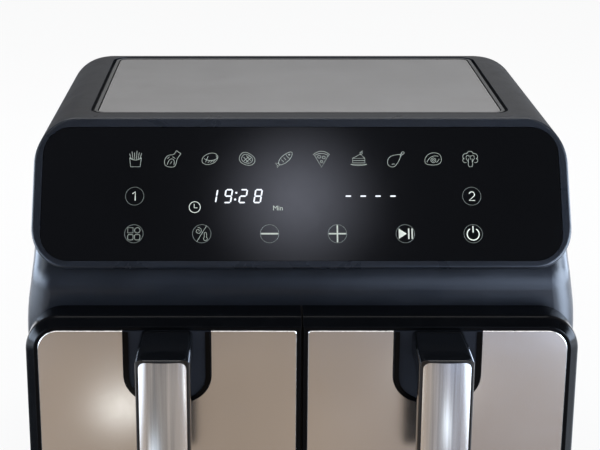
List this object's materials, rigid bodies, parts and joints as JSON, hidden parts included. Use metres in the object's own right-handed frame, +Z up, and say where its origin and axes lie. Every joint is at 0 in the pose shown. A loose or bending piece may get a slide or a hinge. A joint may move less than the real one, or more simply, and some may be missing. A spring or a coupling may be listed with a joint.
{
  "type": "dual-drawer air fryer",
  "caption": "Two-zone countertop air fryer with side-by-side pull-out drawers, a leaning touch panel and a brushed steel top.",
  "frame": {"origin": "on the worktop, under the middle of the outer box", "axes": "+Z up, +X to the right of someone facing the drawers, -Y the way the drawers pull out"},
  "size_m": [0.389, 0.372, 0.305],
  "materials": {
    "casing": "satin moulded, dark grey",
    "tray": "satin grey",
    "top_steel": "brushed across the width",
    "bezel": "satin blue-black",
    "panel_glass": "opaque black touch glass",
    "circuit_board": "green solder mask",
    "display": "black display block",
    "contacts": "conductive foam",
    "rear": "fine texture",
    "base": "fine texture",
    "foot_rubber": "matt rubber",
    "gland": "matt rubber",
    "screw_steel": "zinc plated",
    "liner_sheet": "aluminised sheet",
    "heater_tube": "dark oxide sheath",
    "grille_sheet": "pierced sheet",
    "probe_steel": "polished",
    "bracket_sheet": "stamped sheet",
    "motor_case": "dark can",
    "shaft_steel": "ground",
    "fan_sheet": "stamped sheet",
    "fan_plastic": "black",
    "switch_plastic": "black",
    "plunger_plastic": "red",
    "basket_coating": "dark non-stick coating",
    "drawer_gloss": "gloss black",
    "drawer_cover": "fine texture",
    "drawer_steel": "satin, warm",
    "escutcheon": "satin black",
    "handle_gloss": "gloss black",
    "handle_steel": "polished along the grip",
    "crisper_coating": "dark non-stick coating",
    "crisper_silicone": "silicone"
  },
  "bodies": {
    "chassis": {"base_tray": "base", "case_screws": "screw_steel", "control_board": "circuit_board", "control_glass": "panel_glass", "cord_gland": "gland", "display_module": "display", "feet": "foot_rubber", "main_housing": "casing", "panel_bezel": "bezel", "panel_screws": "screw_steel", "power_board": "circuit_board", "rear_cover": "rear", "top_plate": "top_steel", "top_tray": "tray", "touch_contacts": "contacts", "left_cavity_liner": "liner_sheet", "left_fan_cover": "liner_sheet", "left_heating_element": "heater_tube", "left_heater_grille": "grille_sheet", "left_temperature_probe": "probe_steel", "left_motor_bracket": "bracket_sheet", "left_motor": "motor_case", "left_drawer_switch": "switch_plastic", "right_cavity_liner": "liner_sheet", "right_fan_cover": "liner_sheet", "right_heating_element": "heater_tube", "right_heater_grille": "grille_sheet", "right_temperature_probe": "probe_steel", "right_motor_bracket": "bracket_sheet", "right_motor": "motor_case", "right_drawer_switch": "switch_plastic"},
    "left_drawer": {"left_basket": "basket_coating", "left_front_shell": "drawer_gloss", "left_front_back_cover": "drawer_cover", "left_front_plate": "drawer_steel", "left_handle_escutcheon": "escutcheon", "left_handle": "handle_gloss", "left_handle_inlay": "handle_steel", "left_drawer_screws": "screw_steel"},
    "left_crisper": {"left_crisper_plate": "crisper_coating", "left_crisper_feet": "crisper_silicone"},
    "left_fan": {"left_fan_shaft": "shaft_steel", "left_hot_impeller": "fan_sheet", "left_cooling_impeller": "fan_plastic"},
    "left_switch": {"left_switch_plunger": "plunger_plastic"},
    "right_drawer": {"right_basket": "basket_coating", "right_front_shell": "drawer_gloss", "right_front_back_cover": "drawer_cover", "right_front_plate": "drawer_steel", "right_handle_escutcheon": "escutcheon", "right_handle": "handle_gloss", "right_handle_inlay": "handle_steel", "right_drawer_screws": "screw_steel"},
    "right_crisper": {"right_crisper_plate": "crisper_coating", "right_crisper_feet": "crisper_silicone"},
    "right_fan": {"right_fan_shaft": "shaft_steel", "right_hot_impeller": "fan_sheet", "right_cooling_impeller": "fan_plastic"},
    "right_switch": {"right_switch_plunger": "plunger_plastic"}
  },
  "joints": [
    {"name": "left_drawer_slide", "type": "slide", "parent": "chassis", "child": "left_drawer", "axis": [0, -1, 0], "range_m": [0, 0.29]},
    {"name": "left_crisper_lift", "type": "slide", "parent": "left_drawer", "child": "left_crisper", "axis": [0, 0, 1], "range_m": [0, 0.1]},
    {"name": "left_fan_spin", "type": "hinge", "parent": "chassis", "child": "left_fan", "pos_m": [-0.092, 0.02233, 0.198], "axis": [0, 0, 1], "continuous": true},
    {"name": "left_switch_press", "type": "slide", "parent": "chassis", "child": "left_switch", "axis": [0, 1, 0], "range_m": [0, 0.0012], "stiffness_N_per_m": 200},
    {"name": "right_drawer_slide", "type": "slide", "parent": "chassis", "child": "right_drawer", "axis": [0, -1, 0], "range_m": [0, 0.29]},
    {"name": "right_crisper_lift", "type": "slide", "parent": "right_drawer", "child": "right_crisper", "axis": [0, 0, 1], "range_m": [0, 0.1]},
    {"name": "right_fan_spin", "type": "hinge", "parent": "chassis", "child": "right_fan", "pos_m": [0.092, 0.02233, 0.198], "axis": [0, 0, 1], "continuous": true},
    {"name": "right_switch_press", "type": "slide", "parent": "chassis", "child": "right_switch", "axis": [0, 1, 0], "range_m": [0, 0.0012], "stiffness_N_per_m": 200}
  ]
}
